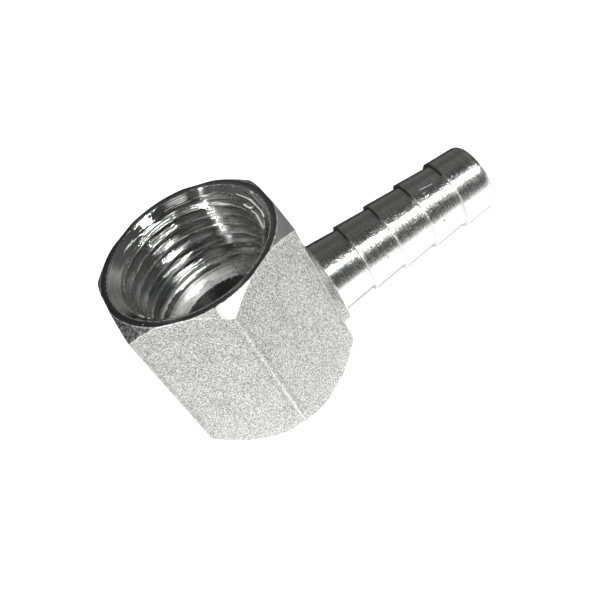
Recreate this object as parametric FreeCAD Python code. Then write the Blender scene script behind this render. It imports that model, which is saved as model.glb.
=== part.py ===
import FreeCAD, Part
import math
import os

# Angled pipe connector: a forged hexagonal cup with a pipe thread inside its mouth, and a
# turned hose tail standing out of one flat. It is a single piece of plated brass.
# Millimetres. The origin is the centre of the base face, +Z runs up the cup to the mouth
# and +X runs out along the hose tail.

# Forged hexagon
across_flats = 24.0
body_height = 26.0
upright_edge_round = 0.5

# Chamfers turned and forged on the hexagon's two ends
mouth_rim_diameter = 24.3
mouth_chamfer_angle = 45.0
base_rim_diameter = 24.3
base_chamfer_angle = 52.0

# Chamber behind the mouth, bored to the crests of a G 1/2 thread
thread_crest_diameter = 18.631
countersink_diameter = 22.4
countersink_angle = 45.0
chamber_depth = 14.0

# Water passage below the chamber's floor, drilled until it clears the hose bore
passage_diameter = 15.8
passage_clearance_below_bore = 0.2
drill_point_angle = 140.0

# Hose tail: its axis lies this high above the base
tail_height = 8.2
hose_bore_diameter = 7.0
bore_mouth_chamfer = 0.4

# Forged collar that the tail grows out of
collar_diameter = 12.9
collar_length = 1.35
collar_edge_chamfer = 0.35
collar_root_round = 0.6
collar_seat = 0.05

# Neck and barbs: each stretch narrows towards the tip, then steps up to the next crest
neck_root_diameter = 10.6
neck_length = 5.25
barb_crest_diameter = 10.55
barb_foot_diameter = 9.65
barb_pitch = 5.25
barb_count = 4
barb_crest_land = 0.12
tip_diameter = 10.1
tip_round = 1.0

# How far a tool's volume runs past the face that it cuts
overrun = 1.0


def rad(degrees):
    return math.radians(degrees)


def turned(outline, centre, axis):
    """A closed outline of edges, turned once round an axis."""
    face = Part.Face(Part.Wire(Part.__sortEdges__(outline)))
    return face.revolve(centre, axis, 360.0)


def polyline(points):
    """Straight edges through the points, left open."""
    return [Part.makeLine(a, b) for a, b in zip(points, points[1:])]


def hexagon_bar():
    """Hexagonal bar with two flats facing +X and -X and its upright edges rounded."""
    corner = across_flats / 2 / math.cos(rad(30))
    ring = [
        FreeCAD.Vector(corner * math.cos(rad(a)), corner * math.sin(rad(a)), 0)
        for a in range(30, 390, 60)
    ]
    bar = Part.Face(Part.makePolygon(ring + ring[:1])).extrude(FreeCAD.Vector(0, 0, body_height))
    upright = [edge for edge in bar.Edges if edge.BoundBox.ZLength > body_height / 2]
    return bar.makeFillet(upright_edge_round, upright)


def end_envelope():
    """Round envelope whose two cones leave the chamfers where they meet the corners."""
    widest = across_flats / 2 / math.cos(rad(30)) + overrun
    mouth = mouth_rim_diameter / 2
    base = base_rim_diameter / 2
    mouth_drop = (widest - mouth) * math.tan(rad(mouth_chamfer_angle))
    base_rise = (widest - base) * math.tan(rad(base_chamfer_angle))
    points = [
        (0, 0), (base, 0), (widest, base_rise),
        (widest, body_height - mouth_drop), (mouth, body_height), (0, body_height), (0, 0),
    ]
    outline = polyline([FreeCAD.Vector(r, 0, z) for r, z in points])
    return turned(outline, FreeCAD.Vector(0, 0, 0), FreeCAD.Vector(0, 0, 1))


def tail_point(along, radius):
    """A point of the tail's outline, measured from the flat and from the tail's axis."""
    return FreeCAD.Vector(across_flats / 2 + along, 0, tail_height + radius)


def barb_points(first_crest):
    """Outline of the row of barbs from the foot of the first step to the tip."""
    crest = barb_crest_diameter / 2
    foot = barb_foot_diameter / 2
    points = []
    for number in range(barb_count):
        start = first_crest + number * barb_pitch
        last = number == barb_count - 1
        end_radius = tip_diameter / 2 if last else foot
        points.append(tail_point(start, crest))
        points.append(tail_point(start + barb_crest_land, crest))
        points.append(tail_point(start + barb_pitch, end_radius))
    return points


def arc_corner(centre, radius, start_angle, turn):
    """A rounded corner of the tail's outline: the arc and its two ends."""
    def at(angle):
        return centre + FreeCAD.Vector(math.cos(rad(angle)), 0, math.sin(rad(angle))) * radius
    first = at(start_angle)
    last = at(start_angle + turn)
    return Part.Arc(first, at(start_angle + turn / 2), last).toShape(), first, last


def hose_tail():
    """Collar, neck and barbs turned round the tail's axis, still without their bore.

    The collar's root is a hollow arc that dips under the flat by collar_seat, as a die's
    rounded edge leaves it.
    """
    collar = collar_diameter / 2
    first_crest = collar_length + neck_length
    tip = first_crest + barb_count * barb_pitch
    root_arc, root_out, root_in = arc_corner(
        tail_point(collar_root_round - collar_seat, collar + collar_root_round),
        collar_root_round, 180, 90,
    )
    tip_arc, tip_out, tip_in = arc_corner(
        tail_point(tip - tip_round, tip_diameter / 2 - tip_round), tip_round, 90, -90
    )
    buried = [
        tail_point(-across_flats / 2, 0),
        tail_point(-across_flats / 2, barb_foot_diameter / 2),
        tail_point(-overrun, barb_foot_diameter / 2),
        tail_point(-overrun, collar + collar_root_round),
        root_out,
    ]
    shank = [
        root_in,
        tail_point(collar_length - collar_edge_chamfer, collar),
        tail_point(collar_length, collar - collar_edge_chamfer),
        tail_point(collar_length, neck_root_diameter / 2),
        tail_point(first_crest, barb_foot_diameter / 2),
    ]
    barbs = barb_points(first_crest)[:-1]
    outline = polyline(buried) + [root_arc] + polyline(shank + barbs + [tip_out]) + [tip_arc]
    outline += polyline([tip_in, tail_point(tip, 0), tail_point(-across_flats / 2, 0)])
    return turned(outline, tail_point(0, 0), FreeCAD.Vector(1, 0, 0))


def mouth_cut():
    """Countersink, thread chamber, water passage and its drill point in one turned form."""
    crest = thread_crest_diameter / 2
    sink = countersink_diameter / 2
    passage = passage_diameter / 2
    sink_slope = math.tan(rad(countersink_angle))
    floor = body_height - chamber_depth
    passage_end = tail_height - hose_bore_diameter / 2 - passage_clearance_below_bore
    point_depth = passage / math.tan(rad(drill_point_angle / 2))
    points = [
        (0, body_height + overrun),
        (sink + overrun / sink_slope, body_height + overrun),
        (crest, body_height - (sink - crest) * sink_slope),
        (crest, floor), (passage, floor), (passage, passage_end),
        (0, passage_end - point_depth), (0, body_height + overrun),
    ]
    outline = polyline([FreeCAD.Vector(r, 0, z) for r, z in points])
    return turned(outline, FreeCAD.Vector(0, 0, 0), FreeCAD.Vector(0, 0, 1))


def hose_bore():
    """The hole through the tail, with its small chamfer at the tip."""
    bore = hose_bore_diameter / 2
    tip = collar_length + neck_length + barb_count * barb_pitch
    points = [
        tail_point(-across_flats / 2, 0),
        tail_point(-across_flats / 2, bore),
        tail_point(tip - bore_mouth_chamfer, bore),
        tail_point(tip + overrun, bore + bore_mouth_chamfer + overrun),
        tail_point(tip + overrun, 0),
        tail_point(-across_flats / 2, 0),
    ]
    return turned(polyline(points), tail_point(0, 0), FreeCAD.Vector(1, 0, 0))


def elbow_body():
    cup = hexagon_bar().common(end_envelope())
    return cup.fuse(hose_tail()).cut(mouth_cut()).cut(hose_bore()).removeSplitter()


os.makedirs("parts", exist_ok=True)
elbow_body().exportStep("parts/elbow_body.step")
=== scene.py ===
from functools import partial
from itertools import accumulate
from math import atan2, cos, degrees, exp, hypot, pi, radians, sin, sqrt, tan
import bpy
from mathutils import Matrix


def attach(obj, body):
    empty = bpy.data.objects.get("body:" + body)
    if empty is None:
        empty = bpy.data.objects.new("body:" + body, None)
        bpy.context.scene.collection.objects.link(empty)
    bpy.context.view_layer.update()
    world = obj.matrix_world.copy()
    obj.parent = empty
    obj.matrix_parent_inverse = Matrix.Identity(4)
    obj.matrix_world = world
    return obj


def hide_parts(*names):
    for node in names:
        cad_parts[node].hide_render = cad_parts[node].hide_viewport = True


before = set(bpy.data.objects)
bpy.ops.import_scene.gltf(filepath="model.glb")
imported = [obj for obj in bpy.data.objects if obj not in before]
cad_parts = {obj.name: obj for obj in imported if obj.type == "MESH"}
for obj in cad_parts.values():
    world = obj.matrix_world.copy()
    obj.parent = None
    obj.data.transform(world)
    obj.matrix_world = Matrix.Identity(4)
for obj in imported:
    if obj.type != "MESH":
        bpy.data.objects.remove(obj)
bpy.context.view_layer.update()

from types import SimpleNamespace

import bmesh
import bpy
from mathutils import Matrix, Vector, noise

# The forged cup
# A hexagonal cup of brass, hot forged in one piece with the hose tail, blasted to an even
# grain and nickel plated. Its flats, base and base chamfer are left as they were blasted.

MM = 0.001
across_flats = 24.0
body_height = 26.0
upright_edge_round = 0.5
rim_diameter = 24.3
base_chamfer_angle = 52.0
mouth_chamfer_angle = 45.0
countersink_diameter = 22.4
countersink_start = 0.3
columns = 324
edge_softness = 0.16
rub_width = 0.13
flat_waviness = 0.02
wavy_beyond = 11.5
facing_depth = 0.05
facing_width = 0.8
chamfer_missed = (-118, -96)

# Each finish's place in the connector's list of materials.
blasted, turned, turned_tail, torn = range(4)

grit_size = 0.17
crater_size = 0.3
lump_size = 0.55
cloud_size = 4.0
grain_depth = 0.05
blasted_light = (0.73, 0.73, 0.725, 1)
blasted_dark = (0.25, 0.25, 0.245, 1)
# Bright nickel, for worn edges, burrs, the cone and chamfer, and painted highlights.
bright_nickel_and_highlight = (0.90, 0.90, 0.89, 1)


def feed(tree, node, inputs):
    """Links each of a node's named inputs to a socket, or gives it a plain value."""
    for label, value in inputs.items():
        if isinstance(value, bpy.types.NodeSocket):
            tree.links.new(value, node.inputs[label])
        else:
            node.inputs[label].default_value = value
    return node


def new_node(tree, kind, inputs, **settings):
    """A node with its settings and inputs."""
    node = tree.nodes.new(kind)
    for setting, value in settings.items():
        setattr(node, setting, value)
    return feed(tree, node, inputs)


def math_node(tree, operation, *terms):
    """A Math node of a shader or geometry tree, its terms numbers or sockets."""
    return new_node(tree, "ShaderNodeMath", dict(enumerate(terms)), operation=operation).outputs[0]


def new_tree(name, kind, takes, gives):
    """An empty node tree with named sockets, what it takes, and its output node."""
    tree = bpy.data.node_groups.new(name, kind + "NodeTree")
    for way, sockets in (("INPUT", takes), ("OUTPUT", gives)):
        for label, sort in sockets.items():
            tree.interface.new_socket(label, in_out=way, socket_type="NodeSocket" + sort)
    return tree, tree.nodes.new("NodeGroupInput").outputs, tree.nodes.new("NodeGroupOutput")


def effect_node(tree, name, make_effect, inputs):
    """A node for a shader group, which is made at its first use."""
    group = bpy.data.node_groups.get(name) or make_effect()
    return new_node(tree, "ShaderNodeGroup", inputs, node_tree=group)


def spread(tree, value, low, high, to_low=0.0, to_high=1.0):
    """A Map Range node that carries low..high to to_low..to_high, clamped."""
    inputs = {"Value": value, "From Min": low, "From Max": high, "To Min": to_low, "To Max": to_high}
    return new_node(tree, "ShaderNodeMapRange", inputs).outputs["Result"]


def speckle(tree, vector, size, detail=2.0, dimensions="3D"):
    """A Noise node whose grains are about size millimetres across."""
    label = "W" if dimensions == "1D" else "Vector"
    inputs = {label: vector, "Scale": 1 / (size * MM), "Detail": detail}
    return new_node(tree, "ShaderNodeTexNoise", inputs, noise_dimensions=dimensions).outputs["Fac"]


def make_blast_grain():
    """Overlapping craters left by the blasting grit: their height, and how light each is."""
    tree, takes, gives = new_tree(
        "blast_grain", "Shader", {"Vector": "Vector"}, {"Height": "Float", "Shade": "Float"}
    )
    grain = speckle(tree, takes["Vector"], grit_size, 1.0)
    lumps = speckle(tree, takes["Vector"], lump_size, 2.0)
    inputs = {"Vector": takes["Vector"], "Scale": 1 / (crater_size * MM)}
    craters = new_node(tree, "ShaderNodeTexVoronoi", inputs)
    height = math_node(tree, "MULTIPLY_ADD", craters.outputs["Distance"], 0.5, grain)
    height = math_node(tree, "MULTIPLY_ADD", lumps, 0.5, height)
    feed(tree, gives, {"Height": height, "Shade": spread(tree, grain, 0.33, 0.67)})
    return tree


def make_wear_light_and_shade():
    """Where edges are rubbed bright, stand up as a burr or carry a painted highlight, broken up by a
    fine noise; and painted shade where the value is below nought.
    """
    tree, takes, gives = new_tree(
        "worn_edge", "Shader", {"Worn": "Float", "Vector": "Vector"},
        {"Mask": "Float", "Hollow": "Float"},
    )
    ragged = spread(tree, speckle(tree, takes["Vector"], 0.35, 3.0), 0.3, 0.7, 0.45, 1.35)
    mask = math_node(tree, "MULTIPLY", ragged, takes["Worn"])
    painted_shade = spread(tree, takes["Worn"], 0.0, -1.0)
    feed(tree, gives, {"Mask": spread(tree, mask, 0.25, 0.75), "Hollow": painted_shade})
    return tree


def wear_and_painted_light_masks(tree, place):
    """Bright edges, worn and painted as highlights, and painted shade, from the mesh's own value:
    above and below nought.
    """
    stored = new_node(tree, "ShaderNodeAttribute", {}, attribute_name="worn").outputs["Fac"]
    inputs = {"Worn": stored, "Vector": place}
    masks = effect_node(tree, "worn_edge", make_wear_light_and_shade, inputs).outputs
    return masks["Mask"], masks["Hollow"]


def new_finish(name):
    """A material with its Principled shader, metallic, and its object coordinates."""
    material = bpy.data.materials.new(name)
    material.use_nodes = True
    tree = material.node_tree
    shader = tree.nodes["Principled BSDF"]
    shader.inputs["Metallic"].default_value = 1.0
    place = tree.nodes.new("ShaderNodeTexCoord").outputs["Object"]
    return material, tree, shader, place


def blend_colour(tree, share, first, second):
    """A Mix node between two colours, or colour sockets: its inputs 6 and 7."""
    inputs = {"Factor": share, 6: first, 7: second}
    return new_node(tree, "ShaderNodeMix", inputs, data_type="RGBA").outputs[2]


def press_in(tree, shader, height, strength, distance):
    """A Bump node from a height, into the shader's normal."""
    inputs = {"Strength": strength, "Distance": distance * MM, "Height": height}
    bump = new_node(tree, "ShaderNodeBump", inputs)
    feed(tree, shader, {"Normal": bump.outputs["Normal"]})


def make_blasted_nickel():
    """The forged skin: craters of grit, light and dark, with its edges rubbed bright and painted as
    highlights, and painted shade beside its upright edges.
    """
    material, tree, shader, place = new_finish("blasted_nickel")
    grain = effect_node(tree, "blast_grain", make_blast_grain, {"Vector": place}).outputs
    cloudy = spread(tree, speckle(tree, place, cloud_size, 3.0), 0.35, 0.65, -0.05, 0.05)
    share = math_node(tree, "ADD", grain["Shade"], cloudy)
    colour = blend_colour(tree, share, blasted_dark, blasted_light)
    worn, painted_shade = wear_and_painted_light_masks(tree, place)
    # Wear and painted highlights lighten the edges; painted shade darkens beside the upright edges.
    colour = blend_colour(tree, worn, colour, bright_nickel_and_highlight)
    colour = blend_colour(tree, painted_shade, colour, blasted_dark)
    rough = spread(tree, grain["Shade"], 0.0, 1.0, 0.74, 0.60)
    rough = math_node(tree, "MULTIPLY_ADD", worn, -0.25, rough)
    feed(tree, shader, {"Base Color": colour, "Roughness": rough})
    press_in(tree, shader, grain["Height"], 0.55, grain_depth)
    return material


def azimuth(column):
    """Angle of a column of vertices: they crowd together at the hexagon's six corners."""
    turn = 2 * pi * column / columns
    return turn + sin(6 * turn) / 9


def degrees_off_flat(angle):
    """Degrees from the middle of the nearest flat, at most 30 to either side."""
    return (degrees(angle) + 30) % 60 - 30


def hexagon_reach(angle):
    """Distance from the axis to the hexagon's side, with its upright edges rounded."""
    half = across_flats / 2
    off_flat = degrees_off_flat(angle)
    centre = (half - upright_edge_round) / cos(radians(30))
    flat_end = centre * sin(radians(30))
    if abs(off_flat) <= degrees(atan2(flat_end, half)):
        return half / cos(radians(off_flat))
    off_corner = radians(30 - abs(off_flat))
    sideways = centre * sin(off_corner)
    return centre * cos(off_corner) + sqrt(upright_edge_round**2 - sideways**2)


def along_outline(points, distance):
    """The point at a distance along an open outline, which runs on straight at its ends."""
    for number, (a, b) in enumerate(zip(points, points[1:])):
        length = (b - a).length
        if distance <= length or number == len(points) - 2:
            return a + (b - a) * (distance / length) if length > 1e-9 else a.copy()
        distance -= length


def softened(points, softness, distance):
    """The outline's point with each corner worn round over the given softness."""
    steps = 9
    total = Vector((0, 0))
    for k in range(steps):
        total += along_outline(points, distance + softness * (k / (steps - 1) - 0.5))
    return total / steps


def corner_distances(points):
    """How far along an outline each of its points lies."""
    return [0.0, *accumulate((b - a).length for a, b in zip(points, points[1:]))]


def rows_round(corners, softness, between):
    """Distances along an outline for its rows: close by each corner, and some between."""
    rows = []
    for number, (start, end) in enumerate(zip(corners, corners[1:])):
        half = (end - start) / 2
        near = [min(half, softness * share) for share in (0.1, 0.3, 0.5, 0.8)]
        first = [] if number == 0 else near
        last = [] if number == len(corners) - 2 else near
        low = start + (first or [0])[-1]
        high = end - (last or [0])[-1]
        count = between[number]
        filled = [low + (high - low) * k / count for k in range(1, count)]
        rows += [start + n for n in first] + filled + [end - n for n in reversed(last)]
    return [0.0] + rows + [corners[-1]]


def cup_outline(angle):
    """Half section of the cup's outside, from the base's centre to just inside the mouth."""
    reach = hexagon_reach(angle)
    rim = rim_diameter / 2
    over = max(reach - rim, 0)
    sink = countersink_diameter / 2
    return [
        Vector((0, 0)),
        Vector((min(reach, rim), 0)),
        Vector((reach, over * tan(radians(base_chamfer_angle)))),
        Vector((reach, body_height - over * tan(radians(mouth_chamfer_angle)))),
        Vector((min(reach, rim), body_height)),
        Vector((sink, body_height)),
        Vector((sink - countersink_start, body_height - countersink_start)),
    ]


def ring_point(radius, angle, height):
    """The place of a point round the cup's axis."""
    return Vector((radius * cos(angle), radius * sin(angle), height))


def wear_and_painted_light_layer(mesh):
    """The mesh's own value of how bright or dark each of its points is painted: wear and painted
    highlights above nought, painted shade below.
    """
    return mesh.verts.layers.float.get("worn") or mesh.verts.layers.float.new("worn")


def skin(mesh, rows, finish, wear_and_light_of=None):
    """Quads between rows that each go once round; the finish is a number or a function."""
    worn = wear_and_painted_light_layer(mesh)
    rings = [[mesh.verts.new(p * MM) for p in row] for row in rows]
    for number, ring in enumerate(rings):
        for i, vertex in enumerate(ring):
            vertex[worn] = wear_and_light_of(number, i) if wear_and_light_of else 0.0
    for number, (lower, upper) in enumerate(zip(rings, rings[1:])):
        for i in range(len(lower)):
            j = (i + 1) % len(lower)
            face = mesh.faces.new((lower[i], lower[j], upper[j], upper[i]))
            face.material_index = finish(number, i) if callable(finish) else finish


def bell(distance, reach):
    """One at no distance, and nearly nought from twice the reach on."""
    return exp(-((distance / reach) ** 2))


def edge_wear_and_light(corners, at, angle):
    """How bright a point of the outside is painted, as wear and as highlight: most along the
    hexagon's edges and corners, with a band of painted shade beside each upright edge.
    """
    wear_and_light = 0.0
    # The mouth's inner edge is painted lighter toward the front, as a highlight.
    ring_inside = 0.7 - 0.25 * sin(angle)
    for corner, weight in zip(corners[1:], (0.5, 0.8, 0.7, 0.85, ring_inside)):
        wear_and_light = max(wear_and_light, weight * bell(at - corner, rub_width))
    off_corner = radians(30 - abs(degrees_off_flat(angle)))
    beside = off_corner * across_flats / 2
    if corners[2] < at < corners[3]:
        # Upright edges: rubbed bright with a painted highlight, and a band of painted shade beside
        # them.
        rubbed_and_highlight = 0.54 * bell(beside, 0.14)
        painted_shade_band = 0.35 * bell(beside - 0.45, 0.16)
        upright = rubbed_and_highlight - painted_shade_band
        wear_and_light = upright if wear_and_light < 0.1 else max(wear_and_light, upright)
    return wear_and_light


def facing_dip(edge, at, angle):
    """How far the facing cut lies under the lip that it leaves along the mouth's inner edge."""
    past = at - edge
    if past > 0.2 or past < -facing_width:
        return 0.0
    ragged = 0.5 + 0.5 * noise.noise(Vector((cos(angle), sin(angle), 0.3)) * 14)
    lip = bell(past, 0.08) * (0.4 + 0.6 * ragged)
    fading = bell(past, 0.06) if past > 0 else min(1.0, (past + facing_width) / 0.3)
    return facing_depth * fading * (1 - lip)


def cup_outside(mesh):
    """From the base's centre out, up the wavy sides and in over the mouth's ring."""
    outlines = [cup_outline(azimuth(i)) for i in range(columns)]
    corners = [corner_distances(outline) for outline in outlines]
    between = (3, 2, 6, 3, 4, 1)
    stations = [rows_round(c, edge_softness, between) for c in corners]
    last = len(stations[0]) - 1
    rows = []
    for r in range(last + 1):
        row = []
        for i, outline in enumerate(outlines):
            angle = azimuth(i)
            at = stations[i][r]
            if r in (0, last):
                flat = outline[0 if r == 0 else -1]
            else:
                flat = softened(outline, edge_softness, at)
            wave = 0.5 + 0.5 * noise.noise(ring_point(flat.x, angle, flat.y) * 0.35)
            on_side = min(1, max(0, (flat.x - wavy_beyond) / 0.4))
            dent = flat_waviness * wave * on_side
            dip = facing_dip(corners[i][5], at, angle) if r < last else 0.0
            row.append(ring_point(flat.x - dent, angle, flat.y - dip))
        rows.append(row)
    corner = columns // 12
    first_turned = sum(at < corners[corner][3] for at in stations[corner]) - 1
    first_faced = sum(at < corners[corner][4] for at in stations[corner]) - 1

    def finish(number, i):
        """The chamfer shows the blasted skin where the cutter missed it, left of the front."""
        missed = chamfer_missed[0] < degrees(azimuth(i)) - 360 < chamfer_missed[1]
        skipped = number < first_turned or (number < first_faced and missed)
        return blasted if skipped else turned

    def wear_and_light(number, i):
        return edge_wear_and_light(corners[i], stations[i][number], azimuth(i))

    skin(mesh, rows, finish, wear_and_light)


# The mouth and its thread
# The mouth is faced, chamfered and bored on a lathe, and a G 1/2 pipe thread is tapped into
# it. The cut metal is bright under the nickel, with fine tool marks that run round the axis.

thread_pitch = 1.8143
thread_crest_radius = 9.3155
root_share = 0.6403
flank_share = 0.9605
crest_share = 0.15
thread_burr = 0.5
thread_end = 14.0
thread_fade = 1.6
thread_turns = 8
thread_phase = 0.485
rows_per_turn = 25
chamber_floor = 12.0
chamber_softness = 0.12
passage_radius = 7.9
passage_end = 4.5
drill_point_angle = 140.0

tool_feed = 0.16
tool_wander = 0.5
turned_light = (0.80, 0.80, 0.79, 1)
turned_dark = (0.54, 0.54, 0.54, 1)
# Painted shade: the colour that shade is painted in on the turned nickel.
painted_shade_dark = (0.10, 0.10, 0.10, 1)

# The first groove's dark wedge and nicks by it and on the faced ring, pressed in and painted dark as
# shade: two ends and a half width.
mouth_shaded_nicks = [
    ((10.09, 1.16, 24.70), (10.05, -1.02, 24.60), 0.30),
    ((10.33, -2.18, 25.36), (9.59, -3.83, 25.12), 0.12),
    ((10.20, 3.90, 25.62), (10.49, 2.10, 25.56), 0.14),
    ((10.49, 2.10, 25.56), (10.54, -1.09, 25.45), 0.20),
    ((-10.45, -5.45, 26.0), (-10.60, -5.60, 26.0), 0.12),
]


def vector_of(tree, x=0.0, y=0.0, z=0.0):
    """A vector put together from sockets or numbers."""
    return new_node(tree, "ShaderNodeCombineXYZ", {"X": x, "Y": y, "Z": z}).outputs[0]


def parts_of(tree, vector):
    """A vector's x, y and z sockets."""
    return new_node(tree, "ShaderNodeSeparateXYZ", {0: vector}).outputs


def vector_math(tree, operation, first, second=None):
    """A Vector Math node's result: a vector, or a number from a dot product or a length."""
    inputs = {0: first}
    if second is not None:
        inputs["Scale" if operation == "SCALE" else 1] = second
    node = new_node(tree, "ShaderNodeVectorMath", inputs, operation=operation)
    return node.outputs[1 if operation in ("DOT_PRODUCT", "LENGTH") else 0]


def over_length(tree, value, start, end, to_start=0.0, to_end=1.0):
    """A clamped Map Range node whose start and end are given in millimetres."""
    return spread(tree, value, start * MM, end * MM, to_start, to_end)


def make_turned_marks():
    """Rings cut by a tool's edge: their height, how bright each is, and their broken dashes."""
    tree, takes, gives = new_tree(
        "turned_marks", "Shader", {"Across": "Float", "Along": "Float", "Vector": "Vector"},
        {"Height": "Float", "Shade": "Float", "Tear": "Float"},
    )
    calc = partial(math_node, tree)
    path = calc("MULTIPLY_ADD", takes["Along"], 0.83, takes["Across"])
    chatter = speckle(tree, takes["Vector"], 1.4, 2.0)
    path = calc("MULTIPLY_ADD", chatter, 0.015 * MM, path)
    fine = speckle(tree, path, tool_feed, 2.0, "1D")
    wide = speckle(tree, path, tool_wander, 1.0, "1D")
    steps = calc("MULTIPLY", path, 9)
    stretched = vector_math(tree, "ADD", takes["Vector"], vector_of(tree, steps, steps, steps))
    dash = speckle(tree, stretched, 1.1, 3.0)
    height = calc("MULTIPLY_ADD", wide, 1.5, fine)
    height = calc("MULTIPLY_ADD", dash, 0.08, height)
    shade = spread(tree, calc("MULTIPLY_ADD", wide, 0.6, fine), 0.55, 1.05)
    tear = spread(tree, calc("MULTIPLY_ADD", dash, 0.7, fine), 0.62, 1.08)
    feed(tree, gives, {"Height": height, "Shade": shade, "Tear": tear})
    return tree


def make_stroke():
    """One short straight mark: full along its middle and gone at its width."""
    tree, takes, gives = new_tree(
        "stroke", "Shader",
        {"Vector": "Vector", "From": "Vector", "Along": "Vector", "Width": "Float"},
        {"Mask": "Float"},
    )
    calc = partial(math_node, tree)
    offset = vector_math(tree, "SUBTRACT", takes["Vector"], takes["From"])
    reached = vector_math(tree, "DOT_PRODUCT", offset, takes["Along"])
    whole = vector_math(tree, "DOT_PRODUCT", takes["Along"], takes["Along"])
    share = calc("MINIMUM", calc("MAXIMUM", calc("DIVIDE", reached, whole), 0), 1)
    nearest = vector_math(tree, "SCALE", takes["Along"], share)
    gap = vector_math(tree, "LENGTH", vector_math(tree, "SUBTRACT", offset, nearest))
    left = calc("SUBTRACT", 1, calc("DIVIDE", gap, takes["Width"]))
    feed(tree, gives, {"Mask": spread(tree, left, 0.0, 0.7)})
    return tree


def strokes(tree, place, marks):
    """The mask of several marks, each given by its two ends and its half width."""
    total = 0
    for start, end, width in marks:
        along = (Vector(end) - Vector(start)) * MM
        start = Vector(start) * MM
        inputs = {"Vector": place, "From": start, "Along": along, "Width": width * MM}
        stroke = effect_node(tree, "stroke", make_stroke, inputs)
        total = math_node(tree, "MAXIMUM", stroke.outputs[0], total)
    return total


def begin_turned_nickel(name, round_x, axis_height=0.0, dullest=0.0, scratches=(), shaded_nicks=()):
    """Turned nickel whose tool marks run round +Z, or round the tail's axis along +X.

    The look holds its sockets, which the caller changes before end_turned_nickel links them.
    """
    material, tree, shader, place = new_finish(name)
    calc = partial(math_node, tree)
    x, y, z = parts_of(tree, place)
    if round_x:
        sides = (y, calc("SUBTRACT", z, axis_height * MM))
        along = x
    else:
        sides = (x, y)
        along = z
    square = calc("MULTIPLY", sides[0], sides[0])
    across = calc("SQRT", calc("MULTIPLY_ADD", sides[1], sides[1], square))
    inputs = {"Across": across, "Along": along, "Vector": place}
    marks = effect_node(tree, "turned_marks", make_turned_marks, inputs).outputs
    share = calc("MULTIPLY_ADD", marks["Tear"], 0.4, marks["Shade"])
    share = spread(tree, share, 0.1, 1.3, dullest, 1.0)
    worn, painted_shade = wear_and_painted_light_masks(tree, place)
    raised = strokes(tree, place, scratches)
    sunk = strokes(tree, place, shaded_nicks)
    worn = calc("MAXIMUM", worn, raised)
    around = (calc("MULTIPLY", sides[1], -1), sides[0])
    tangent = vector_of(tree, 0.0, *around) if round_x else vector_of(tree, *around)
    feed(tree, shader, {"Tangent": tangent, "Anisotropic Rotation": 0.25})
    look = SimpleNamespace(
        material=material, shader=shader, place=place, sides=sides, across=across, along=along,
        colour=blend_colour(tree, share, turned_dark, turned_light), height=marks["Height"],
        rough=marks["Tear"], worn=worn, plain=worn, painted_shade=calc("MAXIMUM", painted_shade, sunk),
        raised=raised, sunk=sunk,
    )
    return tree, calc, look


def end_turned_nickel(tree, calc, look, ridge, depth):
    """Links a turned look to its shader; ridge is how far its marks stand out of it."""
    # Wear and painted highlights lighten the colour, and painted shade darkens it.
    colour = blend_colour(tree, look.worn, look.colour, bright_nickel_and_highlight)
    colour = blend_colour(tree, look.painted_shade, colour, painted_shade_dark)
    rough = calc("MULTIPLY_ADD", look.worn, 0.4, look.rough)
    brushed = calc("SUBTRACT", 1, look.plain)
    inputs = {"Base Color": colour, "Roughness": rough, "Anisotropic": brushed}
    feed(tree, look.shader, inputs)
    height = calc("MULTIPLY_ADD", look.raised, ridge, look.height)
    height = calc("MULTIPLY_ADD", look.sunk, -ridge, height)
    press_in(tree, look.shader, height, 1.0, depth)
    return look.material


def make_turned_mouth():
    """The mouth's nickel: a ring painted dark as shade, darker at the left, a bright cone and
    chamfer, with mottled painted shade on the chamfer's left side.
    """
    tree, calc, look = begin_turned_nickel("turned_nickel_mouth", False, shaded_nicks=mouth_shaded_nicks)
    ring = countersink_diameter / 2
    rim = rim_diameter / 2
    x = look.sides[0]
    faced = over_length(tree, look.across, ring - 0.2, ring + 0.1)
    # Painted shade on the faced ring: dark all round, and darker toward the left.
    painted_ring_shade = calc("MULTIPLY", faced, over_length(tree, x, -9.0, -2.0, 0.75, 0.45))
    colour = blend_colour(tree, painted_ring_shade, look.colour, painted_shade_dark)
    cone = over_length(tree, look.along, body_height - 1.4, body_height - 1.1)
    cone = calc("MULTIPLY", cone, calc("SUBTRACT", 1, faced))
    colour = blend_colour(tree, calc("MULTIPLY", cone, 0.5), colour, bright_nickel_and_highlight)
    calm = over_length(tree, look.along, thread_end - 0.8, thread_end + 0.2, 0.35, 1.35)
    calm = calc("MULTIPLY", calm, over_length(tree, look.across, ring - 0.2, ring + 1.1, 1.0, 0.12))
    calm = calc("MULTIPLY", calm, spread(tree, cone, 0.0, 1.0, 1.0, 0.2))
    look.height = calc("MULTIPLY", look.height, calm)
    chamfer = over_length(tree, look.across, rim + 0.01, rim + 0.05)
    # Painted shade: the chamfer's left side is mottled dark.
    painted_left_shade = spread(tree, speckle(tree, look.place, 0.45, 3.0), 0.35, 0.62, 0.35, 1.0)
    left_side = over_length(tree, x, -2.0, -5.0)
    painted_left_shade = calc("MULTIPLY", calc("MULTIPLY", painted_left_shade, left_side), chamfer)
    look.painted_shade = calc("MAXIMUM", look.painted_shade, painted_left_shade)
    look.plain = calc("MAXIMUM", look.worn, chamfer)
    look.colour = blend_colour(tree, calc("MULTIPLY", chamfer, 0.9), colour, bright_nickel_and_highlight)
    rough = spread(tree, look.rough, 0.0, 1.0, 0.12, 0.2)
    rough = calc("MULTIPLY_ADD", chamfer, 0.2, rough)
    look.rough = calc("MULTIPLY", rough, spread(tree, cone, 0.0, 1.0, 1.0, 0.6))
    return end_turned_nickel(tree, calc, look, 2, 0.042)


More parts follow.
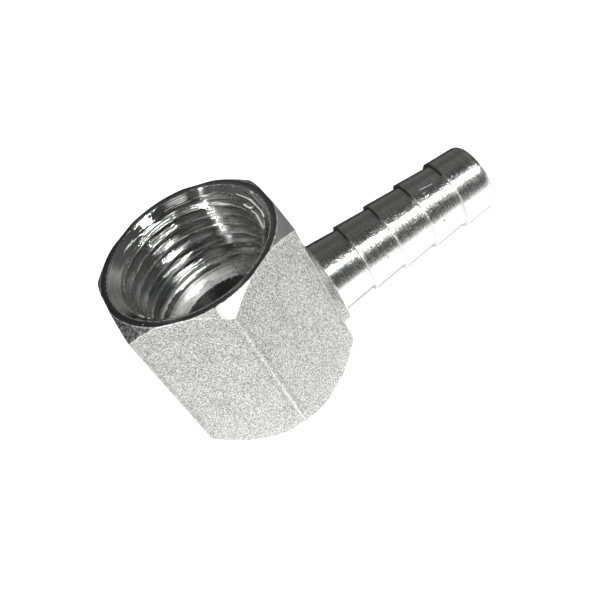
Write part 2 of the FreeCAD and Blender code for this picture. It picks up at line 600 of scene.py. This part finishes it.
def make_bright_burr():
    """Torn metal, dull and bright at once."""
    material, tree, shader, place = new_finish("bright_burr")
    feed(tree, shader, {"Base Color": bright_nickel_and_highlight, "Roughness": 0.82})
    press_in(tree, shader, speckle(tree, place, 0.12, 1.0), 0.8, 0.05)
    return material


def finish_rule(tree, gives, geometry, material):
    """The last nodes of a tree: real geometry, merged, with its material."""
    real = new_node(tree, "GeometryNodeRealizeInstances", {0: geometry})
    inputs = {0: real.outputs[0], "Distance": 0.001 * MM}
    merged = new_node(tree, "GeometryNodeMergeByDistance", inputs)
    inputs = {"Geometry": merged.outputs[0], "Material": material}
    feed(tree, gives, {"Geometry": new_node(tree, "GeometryNodeSetMaterial", inputs).outputs[0]})


def in_scene(name, data):
    """A new object for a mesh, a light or a camera, in the scene."""
    thing = bpy.data.objects.new(name, data)
    bpy.context.scene.collection.objects.link(thing)
    return thing


def made_by(tree, values):
    """Runs a geometry tree with the values of its named inputs and gives the plain mesh."""
    holder = in_scene(tree.name, bpy.data.meshes.new(tree.name))
    modifier = holder.modifiers.new("rule", "NODES")
    modifier.node_group = tree
    for item in tree.interface.items_tree:
        if item.in_out == "INPUT":
            modifier[item.identifier] = values[item.name]
    bpy.context.view_layer.update()
    graph = bpy.context.evaluated_depsgraph_get()
    mesh = bpy.data.meshes.new_from_object(holder.evaluated_get(graph))
    bpy.data.objects.remove(holder)
    return mesh


def make_thread_rule():
    """The tapped wall: a sheet sheared along the helix and pushed out to the thread's form."""
    tree, takes, gives = new_tree("tapped_thread", "Geometry", {
        "Columns": "Int", "Rows": "Int", "Turns": "Float", "Pitch": "Float",
        "Crest Radius": "Float", "Mouth Height": "Float", "Mouth Radius": "Float",
        "End Height": "Float", "Fade": "Float", "Phase": "Float", "Crest Share": "Float",
        "Burr": "Float", "Material": "Material",
    }, {"Geometry": "Geometry"})
    calc = partial(math_node, tree)
    pitch = takes["Pitch"]

    def near(distance, reach):
        """As bell does it, with nodes."""
        part = calc("DIVIDE", distance, reach)
        return calc("EXPONENT", calc("MULTIPLY", calc("MULTIPLY", part, part), -1))

    inputs = {
        "Vertices X": calc("ADD", takes["Columns"], 1), "Vertices Y": calc("ADD", takes["Rows"], 1),
    }
    sheet = new_node(tree, "GeometryNodeMeshGrid", inputs)
    spot = parts_of(tree, tree.nodes.new("GeometryNodeInputPosition").outputs[0])
    turn = calc("MULTIPLY", calc("ADD", spot["X"], 0.5), 2 * pi)
    turned_down = calc("MULTIPLY", calc("ADD", spot["Y"], 0.5), takes["Turns"])
    # Four waves of rows to a turn crowd them beside the thread's crests and roots.
    wave = 8 * pi
    crowding = calc("SINE", calc("MULTIPLY", calc("ADD", turned_down, takes["Phase"]), wave))
    turned_down = calc("MULTIPLY_ADD", crowding, 0.7 / wave, turned_down)
    # The columns crowd at the hexagon's corners, as azimuth does it for the cup.
    angle = calc("ADD", turn, calc("DIVIDE", calc("SINE", calc("MULTIPLY", turn, 6)), 9))

    rise = calc("SUBTRACT", calc("DIVIDE", angle, 2 * pi), turned_down)
    height = calc("MULTIPLY_ADD", rise, pitch, takes["Mouth Height"])
    height = calc("MINIMUM", height, takes["Mouth Height"])
    height = calc("MAXIMUM", height, takes["End Height"])

    share = calc("FRACT", calc("ADD", turned_down, takes["Phase"]))
    from_crest = calc("ABSOLUTE", calc("MULTIPLY_ADD", share, 2, -1))
    flank = calc("SUBTRACT", from_crest, takes["Crest Share"])
    cut = calc("MULTIPLY", calc("MULTIPLY", flank, flank_share), pitch)
    root = calc("MULTIPLY", pitch, root_share)
    cut = calc("SMOOTH_MIN", cut, root, calc("MULTIPLY", pitch, 0.12))
    cut = calc("SMOOTH_MAX", cut, 0, calc("MULTIPLY", pitch, 0.06))
    above_end = calc("DIVIDE", calc("SUBTRACT", height, takes["End Height"]), takes["Fade"])
    fade = calc("MINIMUM", above_end, 1)
    wall = calc("MULTIPLY_ADD", cut, fade, takes["Crest Radius"])
    sink = calc("SUBTRACT", takes["Mouth Radius"], calc("SUBTRACT", takes["Mouth Height"], height))

    at_sink = near(calc("SUBTRACT", wall, sink), 0.04 * MM)
    at_edge = near(flank, 0.05)
    below_mouth = calc("DIVIDE", calc("SUBTRACT", takes["Mouth Height"], height), 0.3 * MM)
    at_edge = calc("MULTIPLY", at_edge, calc("MINIMUM", fade, calc("MINIMUM", below_mouth, 1)))
    deep = near(calc("SUBTRACT", from_crest, 0.78), 0.12)
    run_out = calc("ADD", takes["End Height"], 0.7 * MM)
    at_end = near(calc("SUBTRACT", height, run_out), 0.4 * MM)
    at_end = calc("MULTIPLY", at_end, calc("MINIMUM", calc("MULTIPLY", above_end, 8), 1))
    edges = calc("MULTIPLY_ADD", at_edge, 0.6, calc("MULTIPLY_ADD", at_end, 0.9, at_sink))

    sideways = calc("COSINE", angle)
    forward = calc("SINE", angle)
    direction = vector_of(tree, sideways, forward, calc("MULTIPLY", height, 100))
    inputs = {"Vector": direction, "Scale": 11, "Detail": 4}
    ragged = new_node(tree, "ShaderNodeTexNoise", inputs)
    rough = calc("MAXIMUM", calc("SUBTRACT", ragged.outputs["Fac"], 0.42), 0)
    lip = calc("MULTIPLY", calc("MULTIPLY", rough, edges), takes["Burr"])
    radius = calc("SUBTRACT", calc("MAXIMUM", wall, sink), lip)

    # Crest edges, burrs, the run-out and the countersink's edge are painted bright, as wear and as
    # highlights; the groove's deep part is painted darker as shade.
    wear_and_light = calc("MULTIPLY", calc("ADD", edges, calc("MULTIPLY", lip, 4000)), 0.95)
    wear_and_light = calc("MULTIPLY_ADD", deep, -0.15, calc("MINIMUM", wear_and_light, 1))
    kind = "GeometryNodeStoreNamedAttribute"
    inputs = {"Geometry": sheet.outputs["Mesh"], "Name": "worn", "Value": wear_and_light}
    store = new_node(tree, kind, inputs, data_type="FLOAT", domain="POINT")
    place = vector_of(
        tree, calc("MULTIPLY", radius, sideways), calc("MULTIPLY", radius, forward), height
    )
    inputs = {"Geometry": store.outputs["Geometry"], "Position": place}
    move = new_node(tree, "GeometryNodeSetPosition", inputs)
    finish_rule(tree, gives, move.outputs[0], takes["Material"])
    return tree


def make_thread(material):
    """The tapped wall's mesh, from the countersink down to where the thread runs out."""
    return made_by(make_thread_rule(), {
        "Columns": columns, "Rows": rows_per_turn * thread_turns, "Turns": float(thread_turns),
        "Pitch": thread_pitch * MM, "Crest Radius": thread_crest_radius * MM,
        "Mouth Height": (body_height - countersink_start) * MM,
        "Mouth Radius": (countersink_diameter / 2 - countersink_start) * MM,
        "End Height": thread_end * MM, "Fade": thread_fade * MM, "Phase": thread_phase,
        "Crest Share": crest_share, "Burr": thread_burr * MM, "Material": material,
    })


def chamber(mesh):
    """Below the thread: the plain bore, its floor, the water passage and the drill's point."""
    depth = passage_radius / tan(radians(drill_point_angle / 2))
    outline = [
        Vector((thread_crest_radius, thread_end)), Vector((thread_crest_radius, chamber_floor)),
        Vector((passage_radius, chamber_floor)), Vector((passage_radius, passage_end)),
        Vector((0, passage_end - depth)),
    ]
    corners = corner_distances(outline)
    stations = rows_round(corners, chamber_softness, (3, 2, 4, 3))
    to_floor, to_passage = corners[1:3]
    rows = []
    for number, at in enumerate(stations):
        flat = along_outline(outline, at)
        if 0 < number < len(stations) - 1:
            flat = softened(outline, chamber_softness, at)
        rows.append([ring_point(flat.x, azimuth(i), flat.y) for i in range(columns)])

    def wear_and_light(number, i):
        """The floor and the passage's edge are painted bright as highlights, and the passage itself
        is painted dark as shade.
        """
        past = stations[number] - to_passage
        if past > 0.2:
            return -0.25
        on_floor = 0.8 if to_floor < stations[number] < to_passage else 0.0
        return max(on_floor, 0.95 * bell(past, 0.12))

    skin(mesh, rows, turned, wear_and_light)


# Where the tap enters the chamfer it leaves ragged burrs: a fin along the first groove's two
# edges, slivers on the wall, and small upset nicks on the faced ring: path, half thickness.
mouth_burrs = [
    ([(9.20, 4.94, 25.24), (9.74, 3.52, 25.16), (10.17, 2.08, 25.18), (10.24, 0.67, 25.06),
      (10.27, -1.30, 25.15), (10.11, -2.14, 25.13), (9.70, -2.80, 24.70), (9.19, -3.19, 24.20)],
     0.085),
    ([(9.24, 3.25, 24.42), (9.50, 1.95, 24.31), (9.93, 1.43, 24.49)], 0.10),
    ([(9.47, 1.45, 24.29), (9.67, 0.15, 24.27), (9.44, -1.45, 24.15), (9.15, -3.05, 24.10)],
     0.085),
    ([(7.09, 7.17, 15.63), (7.66, 6.53, 15.60)], 0.13),
    ([(6.66, 6.75, 14.35), (7.59, 5.62, 14.41)], 0.12),
    ([(10.76, 2.72, 25.90), (10.85, 1.97, 25.83)], 0.07),
    ([(-10.26, -5.67, 25.93), (-10.75, -5.83, 25.89)], 0.045),
    ([(-8.97, -7.31, 25.93), (-9.48, -7.48, 25.93)], 0.04),
    ([(-11.62, -0.72, 25.92), (-11.68, -0.92, 25.92)], 0.04),
    ([(-9.32, -4.00, 24.94), (-8.69, -4.98, 24.83)], 0.08),
    ([(-8.43, -5.53, 24.88), (-8.21, -5.82, 24.86)], 0.08),
]
sliver_step = 0.22
sliver_sides = 6


def sliver(mesh, points, radius, seed):
    """A thin ragged fin of metal along a path, closed and tapered to nothing at both ends."""
    path = [Vector(p) for p in points]
    length = corner_distances(path)[-1]
    count = max(4, round(length / sliver_step))
    rings = [[path[0]] * sliver_sides]
    for k in range(1, count):
        at = length * k / count
        spot = along_outline(path, at)
        ahead = along_outline(path, min(length, at + 0.1))
        behind = along_outline(path, max(0, at - 0.1))
        forward = (ahead - behind).normalized()
        side = forward.cross(Vector((0, 0, 1))).normalized()
        over = side.cross(forward)
        chance = noise.noise(spot * 5 + Vector((seed, 0, 0)))
        thick = radius * (1 + 0.9 * chance) * min(1.0, 4 * min(k, count - k) / count + 0.3)
        turns = [radians(360 * n / sliver_sides) for n in range(sliver_sides)]
        rings.append([spot + (side * cos(a) + over * sin(a)) * thick for a in turns])
    rings.append([path[-1]] * sliver_sides)
    skin(mesh, rings, torn)


def add_mesh(mesh, other, finish):
    """Copies a finished mesh into the one being built, with one finish throughout."""
    worn = wear_and_painted_light_layer(mesh)
    copies = []
    for vertex, wear_and_light in zip(other.vertices, other.attributes["worn"].data):
        copy = mesh.verts.new(vertex.co)
        copy[worn] = wear_and_light.value
        copies.append(copy)
    for polygon in other.polygons:
        face = mesh.faces.new([copies[i] for i in polygon.vertices])
        face.material_index = finish


def plain_mesh(mesh, name):
    """The mesh that was built, ready for an object."""
    data = bpy.data.meshes.new(name)
    mesh.to_mesh(data)
    mesh.free()
    return data


def closed(mesh, name, materials):
    """Merges a mesh's doubles, turns its faces outwards and makes it an object."""
    bmesh.ops.remove_doubles(mesh, verts=mesh.verts, dist=0.002 * MM)
    bmesh.ops.recalc_face_normals(mesh, faces=mesh.faces)
    data = plain_mesh(mesh, name)
    for material in materials:
        data.materials.append(material)
    return in_scene(name, data)


# The hose tail
# Forged as a plain stub on a round collar, then turned to a neck and four barbs that grip a
# 10 mm hose. Each barb ends in a sharp step, where the tool leaves a ragged burr.

tail_height = 8.2
tail_buried = 2.0
collar_radius = 6.45
collar_length = 1.35
collar_edge_chamfer = 0.35
collar_root_round = 0.6
collar_seat = 0.05
neck_root_radius = 5.3
neck_root_round = 0.25
neck_length = 5.25
barb_crest_radius = 5.275
barb_foot_radius = 4.825
barb_crest_land = 0.12
barb_join_radius = 4.835
barb_pitch = 5.25
barb_count = 4
tip_radius = 5.05
tip_round = 1.0
tail_columns = 160
hose_bore_radius = 3.5
bore_mouth_chamfer = 0.4
drill_overrun = 1.0

first_crest = collar_length + neck_length
tail_tip = first_crest + barb_count * barb_pitch
pit_size = 0.16
blotch_size = 0.2

# Scratches on the tail, and nicks at two barbs that are pressed in and painted dark as shade: two
# ends and a half width.
tail_scratches = [
    ((30.45, -1.36, 13.18), (32.35, -1.55, 12.95), 0.09),
    ((30.48, -2.16, 12.89), (30.89, -2.06, 12.90), 0.08),
    ((29.10, -2.21, 12.87), (28.80, -2.03, 12.61), 0.14),
    ((29.35, -2.45, 12.75), (29.70, -2.35, 12.80), 0.08),
    ((28.70, -1.60, 13.00), (28.95, -1.75, 12.95), 0.09),
]
tail_shaded_nicks = [
    ((21.51, -4.87, 9.47), (21.89, -4.82, 9.52), 0.07),
    ((30.95, -5.00, 9.33), (31.02, -5.04, 9.10), 0.12),
]


def make_turned_tail():
    """The tail's nickel: pitted, with painted shade at the barbs' feet toward the top and a painted
    dark reflection along the neck's far upper side.
    """
    tree, calc, look = begin_turned_nickel(
        "turned_nickel_tail", True, tail_height, 0.6, tail_scratches, tail_shaded_nicks
    )
    blotch = spread(tree, speckle(tree, look.place, blotch_size, 1.0), 0.4, 0.62)
    rough = calc("MULTIPLY_ADD", look.rough, 0.5, calc("MULTIPLY", blotch, 0.5))
    look.rough = spread(tree, rough, 0.0, 1.0, 0.20, 0.42)
    pits = spread(tree, speckle(tree, look.place, pit_size, 0.0), 0.62, 0.74)
    look.height = calc("MULTIPLY_ADD", blotch, 0.5, look.height)
    look.height = calc("MULTIPLY_ADD", pits, 0.8, look.height)
    step = across_flats / 2 + first_crest
    past_step = calc("SUBTRACT", look.along, step * MM)
    past_step = calc("FRACT", calc("DIVIDE", past_step, barb_pitch * MM))
    on_barbs = over_length(tree, look.along, step - 1.1, step - 0.6)
    above = over_length(tree, calc("ADD", *look.sides), 2.4, 4.2)
    # Painted shade at each barb's foot toward the top and back, where the step lies in shade.
    foot = calc("MULTIPLY", spread(tree, past_step, 0.955, 0.98), on_barbs)
    foot = calc("MULTIPLY", foot, above)
    on_neck = over_length(tree, look.along, step - 0.2, step - 0.5)
    # A painted dark reflection along the neck's far upper side.
    far_edge = calc("MULTIPLY", on_neck, over_length(tree, look.sides[0], 1.9, 2.5))
    look.painted_shade = calc("MAXIMUM", calc("MAXIMUM", look.painted_shade, foot), far_edge)
    return end_turned_nickel(tree, calc, look, 9, 0.009)


def tail_row(x, radius):
    """A ring of points round the tail's axis, x measured from the flat."""
    x += across_flats / 2
    angles = [2 * pi * i / tail_columns for i in range(tail_columns)]
    return [Vector((x, radius * cos(a), tail_height + radius * sin(a))) for a in angles]


def arc(centre_x, centre_r, radius, start, end, steps):
    """Points of the tail's outline round a centre, from one angle in degrees to another."""
    turns = [radians(start + (end - start) * k / steps) for k in range(steps + 1)]
    return [(centre_x + radius * cos(a), centre_r + radius * sin(a)) for a in turns]


def burr(x, radius, height, seed):
    """A ring at a barb's crest, with a ragged lip that stands a little above it."""
    ring = []
    for point in tail_row(x, radius):
        rough = noise.fractal(point * 1.7 + Vector((seed, 0, 0)), 0.8, 2.0, 4)
        lift = height * max(0.0, rough + 0.15)
        axis = Vector((point.x, 0, tail_height))
        out = (point - axis).normalized()
        ring.append(point + out * lift + Vector((-lift * 0.6, 0, 0)))
    return ring


def barb_rows(start, end_radius, length, seed):
    """Rows of one barb: up its step, over the burred crest and down its slope."""
    crest = barb_crest_radius
    rows = [
        tail_row(start - barb_crest_land, barb_join_radius),
        tail_row(start - 0.02, barb_foot_radius + 0.01),
        tail_row(start, barb_foot_radius + 0.06),
        tail_row(start, (barb_foot_radius + crest) / 2),
        tail_row(start, crest - 0.07),
        burr(start + 0.005, crest, 0.07, seed),
        burr(start + 0.05, crest, 0.03, seed),
        tail_row(start + barb_crest_land, crest),
    ]
    for k in range(1, 7):
        along = barb_crest_land + (length - 2 * barb_crest_land) * k / 6
        rows.append(tail_row(start + along, crest + (end_radius - crest) * k / 6))
    return rows


def make_barb_rule():
    """A row of like barbs along the tail, each turned round it so that no two burrs match."""
    tree, takes, gives = new_tree("row_of_barbs", "Geometry", {
        "Barb": "Object", "Count": "Int", "Pitch": "Float", "Axis Height": "Float",
        "Columns": "Int", "Seed": "Int", "Material": "Material",
    }, {"Geometry": "Geometry"})
    line = new_node(tree, "GeometryNodeMeshLine", {
        "Count": takes["Count"], "Offset": vector_of(tree, takes["Pitch"]),
        "Start Location": vector_of(tree, z=takes["Axis Height"]),
    })
    barb = new_node(tree, "GeometryNodeObjectInfo", {"Object": takes["Barb"]})
    inputs = {"Min": 0, "Max": tail_columns - 1, "Seed": takes["Seed"]}
    chance = new_node(tree, "FunctionNodeRandomValue", inputs, data_type="INT")
    drawn = next(s for s in chance.outputs if s.enabled)
    column_angle = math_node(tree, "DIVIDE", 2 * pi, takes["Columns"])
    turn = vector_of(tree, math_node(tree, "MULTIPLY", drawn, column_angle))
    rings = new_node(tree, "GeometryNodeInstanceOnPoints", {
        "Points": line.outputs[0], "Instance": barb.outputs["Geometry"], "Rotation": turn,
    })
    finish_rule(tree, gives, rings.outputs[0], takes["Material"])
    return tree


def make_barbs(material):
    """All barbs but the last, whose slope runs on into the rounded tip."""
    ring = bmesh.new()
    lowered = [
        [p - Vector((0, 0, tail_height)) for p in row]
        for row in barb_rows(first_crest, barb_join_radius, barb_pitch, 3.1)
    ]
    skin(ring, lowered, blasted)
    barb = in_scene("one_barb", plain_mesh(ring, "one_barb"))
    mesh = made_by(make_barb_rule(), {
        "Barb": barb, "Count": barb_count - 1, "Pitch": barb_pitch * MM,
        "Axis Height": tail_height * MM, "Columns": tail_columns, "Seed": 4,
        "Material": material,
    })
    bpy.data.objects.remove(barb)
    return mesh


def tail_solid(materials):
    """Collar, neck, barbs and tip as one closed turned form, still without its bore."""
    mesh = bmesh.new()
    root_radius = collar_radius + collar_root_round
    root = arc(collar_root_round - collar_seat, root_radius, collar_root_round, 180, 270, 6)
    edge = arc(
        collar_length - collar_edge_chamfer, collar_radius - collar_edge_chamfer,
        collar_edge_chamfer, 90, 0, 5,
    )
    fillet = arc(
        collar_length + neck_root_round, neck_root_radius + neck_root_round,
        neck_root_round, 180, 270, 4,
    )
    collar = [(-tail_buried, r) for r in (0.0, 3.0, 6.0)] + [(-tail_buried / 2, root_radius)]
    collar += root + [(0.7, collar_radius), (0.9, collar_radius)] + edge
    collar += [(collar_length, 5.9), (collar_length, 5.7)] + fillet
    first_turned = len(collar) - len(fillet)

    def finish(number, i):
        return blasted if number < first_turned else turned_tail

    skin(mesh, [tail_row(x, r) for x, r in collar], finish)
    neck_start = fillet[-1][0]
    neck = [fillet[-1]]
    for k in range(1, 9):
        share = k / 8
        neck.append((
            neck_start + (first_crest - barb_crest_land - neck_start) * share,
            neck_root_radius + (barb_join_radius - neck_root_radius) * share,
        ))
    skin(mesh, [tail_row(x, r) for x, r in neck], turned_tail)
    add_mesh(mesh, make_barbs(materials[turned_tail]), turned_tail)
    nose = arc(tail_tip - tip_round, tip_radius - tip_round, tip_round, 90, 0, 8)
    last_length = barb_pitch - tip_round + barb_crest_land
    last = barb_rows(tail_tip - barb_pitch, tip_radius, last_length, 8.4)
    last += [tail_row(x, r) for x, r in nose + [(tail_tip, 3.0), (tail_tip, 0.0)]]
    skin(mesh, last, turned_tail)
    return closed(mesh, "tail", materials)


def bore_cutter(materials):
    """The drilled hose bore with the small chamfer at its mouth, from the cup's axis out."""
    mesh = bmesh.new()
    start = -across_flats / 2
    wide = hose_bore_radius + bore_mouth_chamfer
    outline = [(x, hose_bore_radius) for x in (start, start / 3, tail_tip / 2)]
    outline = [(start, 0.0)] + outline + [
        (tail_tip - bore_mouth_chamfer, hose_bore_radius), (tail_tip, wide),
        (tail_tip + drill_overrun, wide + drill_overrun), (tail_tip + drill_overrun, 0.0),
    ]
    skin(mesh, [tail_row(x, r) for x, r in outline], turned_tail)
    return closed(mesh, "bore_cutter", materials)


# The whole connector
# Cup and tail are one forging, so their meshes are fused and the hose bore is drilled through
# the tail into the water passage. The result stands for the part's only solid.

sharp_angle = 32


def joined(piece, tool, operation):
    """Fuses or cuts the piece with a tool, which is used up, and makes the result plain."""
    change = piece.modifiers.new("join", "BOOLEAN")
    change.operation = operation
    change.solver = "EXACT"
    change.object = tool
    bpy.context.view_layer.update()
    graph = bpy.context.evaluated_depsgraph_get()
    data = bpy.data.meshes.new_from_object(piece.evaluated_get(graph))
    piece.modifiers.remove(change)
    piece.data = data
    bpy.data.objects.remove(tool)


def mark_tail_wear_and_light(piece):
    """Rubs the barbs' crests and the collar's edge bright, painted lighter toward the lower front
    and dark as shade toward the top, paints a highlight at each step's foot at the lower front, and
    paints the collar's root darker as shade but for its lower front.
    """
    flat = across_flats / 2
    edge = flat + collar_length
    crests = [flat + first_crest + barb_pitch * k for k in range(barb_count)]
    for vertex, worn in zip(piece.data.vertices, piece.data.attributes["worn"].data):
        x, y, z = vertex.co / MM
        if x <= flat + 0.02:
            continue
        height = hypot(y, z - tail_height)
        to_front = -((z - tail_height) + y) / barb_crest_radius
        # Painted light: crests are lighter toward the lower front and, below nought, painted dark as
        # shade toward the top and back.
        below_top = min(1.0, max(-0.8, 1.25 + 1.3 * to_front))
        on_crest = bell(height - barb_crest_radius - 0.02, 0.06)
        crest_wear = max(bell(x - crest - 0.04, 0.09) for crest in crests) * on_crest
        collar_wear = bell(x - edge + 0.1, 0.1) * bell(height - collar_radius + 0.12, 0.12)
        worn.value = max(crest_wear, 0.8 * collar_wear) * below_top
        # A painted highlight at each step's foot on the lower front.
        if to_front > 1.1:
            at_foot = max(bell(x - crest, 0.05) for crest in crests)
            worn.value = max(worn.value, at_foot)
        # Painted shade on the collar's root, all but its lower front.
        if x < edge - 0.2:
            worn.value = -0.45 * min(1.0, max(0.0, (1.1 - to_front) / 0.7))


finishes = [make_blasted_nickel(), make_turned_mouth(), make_turned_tail(), make_bright_burr()]
cup = bmesh.new()
cup_outside(cup)
add_mesh(cup, make_thread(finishes[turned]), turned)
chamber(cup)
connector = closed(cup, "connector", finishes)
slivers = bmesh.new()
for number, (points, radius) in enumerate(mouth_burrs):
    sliver(slivers, points, radius, 3.7 * number)
joined(connector, closed(slivers, "burrs", finishes), "UNION")
joined(connector, tail_solid(finishes), "UNION")
joined(connector, bore_cutter(finishes), "DIFFERENCE")
mark_tail_wear_and_light(connector)
connector.data.shade_smooth()
connector.data.set_sharp_from_angle(angle=radians(sharp_angle))
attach(connector, "root")
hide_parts("elbow_body")

# The table, the light and the camera
# The connector stands on its base on a white table in a dim studio, lit by a key in front,
# a strip and two cards at the left, and two weak cards behind.

table_size = 3.0
table_drop = 0.02
paper_white = (0.9, 0.9, 0.9, 1)
paper_dark = (0.02, 0.02, 0.02, 1)
paper_glow = 0.82
light_distance = 0.6
aim = Vector((8, 0, 15)) * MM


def make_floor():
    """White paper that glows a little as painted light, and to the metal is dark as a painted
    reflection but for a strip in front, which is dimmed under the connector as a painted shadow.
    """
    mesh = bmesh.new()
    bmesh.ops.create_grid(mesh, x_segments=1, y_segments=1, size=table_size / 2)
    floor = in_scene("table", plain_mesh(mesh, "table"))
    floor.location.z = -table_drop * MM
    paper = bpy.data.materials.new("white_paper")
    paper.use_nodes = True
    tree = paper.node_tree
    calc = partial(math_node, tree)
    y = parts_of(tree, tree.nodes.new("ShaderNodeTexCoord").outputs["Object"])["Y"]
    # Painted shadow: to the metal, the strip is dimmer from just in front of the connector on.
    beneath = over_length(tree, y, -4.2, -2.8, 1.0, 0.36)
    front = over_length(tree, y, 1, 10, 1.0, 0.05)
    far = over_length(tree, y, -85, -45, 0.06, 1.0)
    front = calc("MULTIPLY", calc("MULTIPLY", front, beneath), far)
    seen = tree.nodes.new("ShaderNodeLightPath").outputs["Is Camera Ray"]
    white = calc("MAXIMUM", seen, front)
    feed(tree, tree.nodes["Principled BSDF"], {
        "Base Color": blend_colour(tree, white, paper_dark, paper_white), "Roughness": 0.9,
        "Specular IOR Level": 0.1, "Emission Color": (1, 1, 1, 1),
        "Emission Strength": calc("MULTIPLY", white, paper_glow),
    })
    floor.data.materials.append(paper)


def softbox(name, bearing, elevation, width, tall, power):
    """An area light that looks at the connector from a bearing and a height in degrees."""
    lamp = bpy.data.lights.new(name, "AREA")
    lamp.shape = "RECTANGLE"
    lamp.size = width
    lamp.size_y = tall
    lamp.energy = power
    turn = radians(bearing)
    rise = radians(elevation)
    out = ring_point(cos(rise), turn, sin(rise))
    box = in_scene(name, lamp)
    box.location = aim + out * light_distance
    box.rotation_euler = (-out).to_track_quat("-Z", "Y").to_euler()


def make_sky():
    """The studio's walls: dim, and darker in front and overhead."""
    world = bpy.data.worlds.new("studio")
    world.use_nodes = True
    tree = world.node_tree
    spot = parts_of(tree, tree.nodes.new("ShaderNodeTexCoord").outputs["Generated"])
    height = spread(tree, spot["Z"], 0.05, 0.5, 0.20, 0.09)
    overhead = spread(tree, spot["Z"], 0.75, 0.95, 1.0, 0.5)
    height = math_node(tree, "MULTIPLY", height, overhead)
    front = spread(tree, spot["Y"], -0.8, -0.3, 0.5, 1.0)
    strength = math_node(tree, "MULTIPLY", height, front)
    feed(tree, tree.nodes["Background"], {"Color": (1, 1, 1, 1), "Strength": strength})
    bpy.context.scene.world = world


def set_camera():
    """The photograph's view: a little left of the front, 44 degrees up, the camera tilted."""
    lens = bpy.data.cameras.new("camera")
    lens.lens = 48.666
    lens.sensor_width = 36.0
    lens.clip_start = 5 * MM
    where = Vector((0.2052, -81.1658, 86.5277)) * MM
    right = Vector((0.81929, -0.44260, -0.36451))
    up = Vector((0.56821, 0.54157, 0.61955))
    back = Vector((-0.07680, -0.71470, 0.69520))
    camera = in_scene("camera", lens)
    turn = Matrix((right, up, back)).transposed().to_4x4()
    camera.matrix_world = Matrix.Translation(where) @ turn
    bpy.context.scene.camera = camera


make_floor()
softbox("key", -61, 52.5, 0.03, 0.09, 2.6)
softbox("left_strip", -150, 24, 0.026, 0.09, 1.8)
softbox("left_card", -120, 45, 0.21, 0.21, 0.13)
softbox("back_right", 32, 36, 0.27, 0.27, 0.05)
softbox("low_left", 170, 4, 0.12, 0.05, 0.22)
softbox("back_left", 162, 58, 0.21, 0.21, 0.08)
make_sky()
set_camera()
bpy.context.scene.view_settings.view_transform = "Standard"
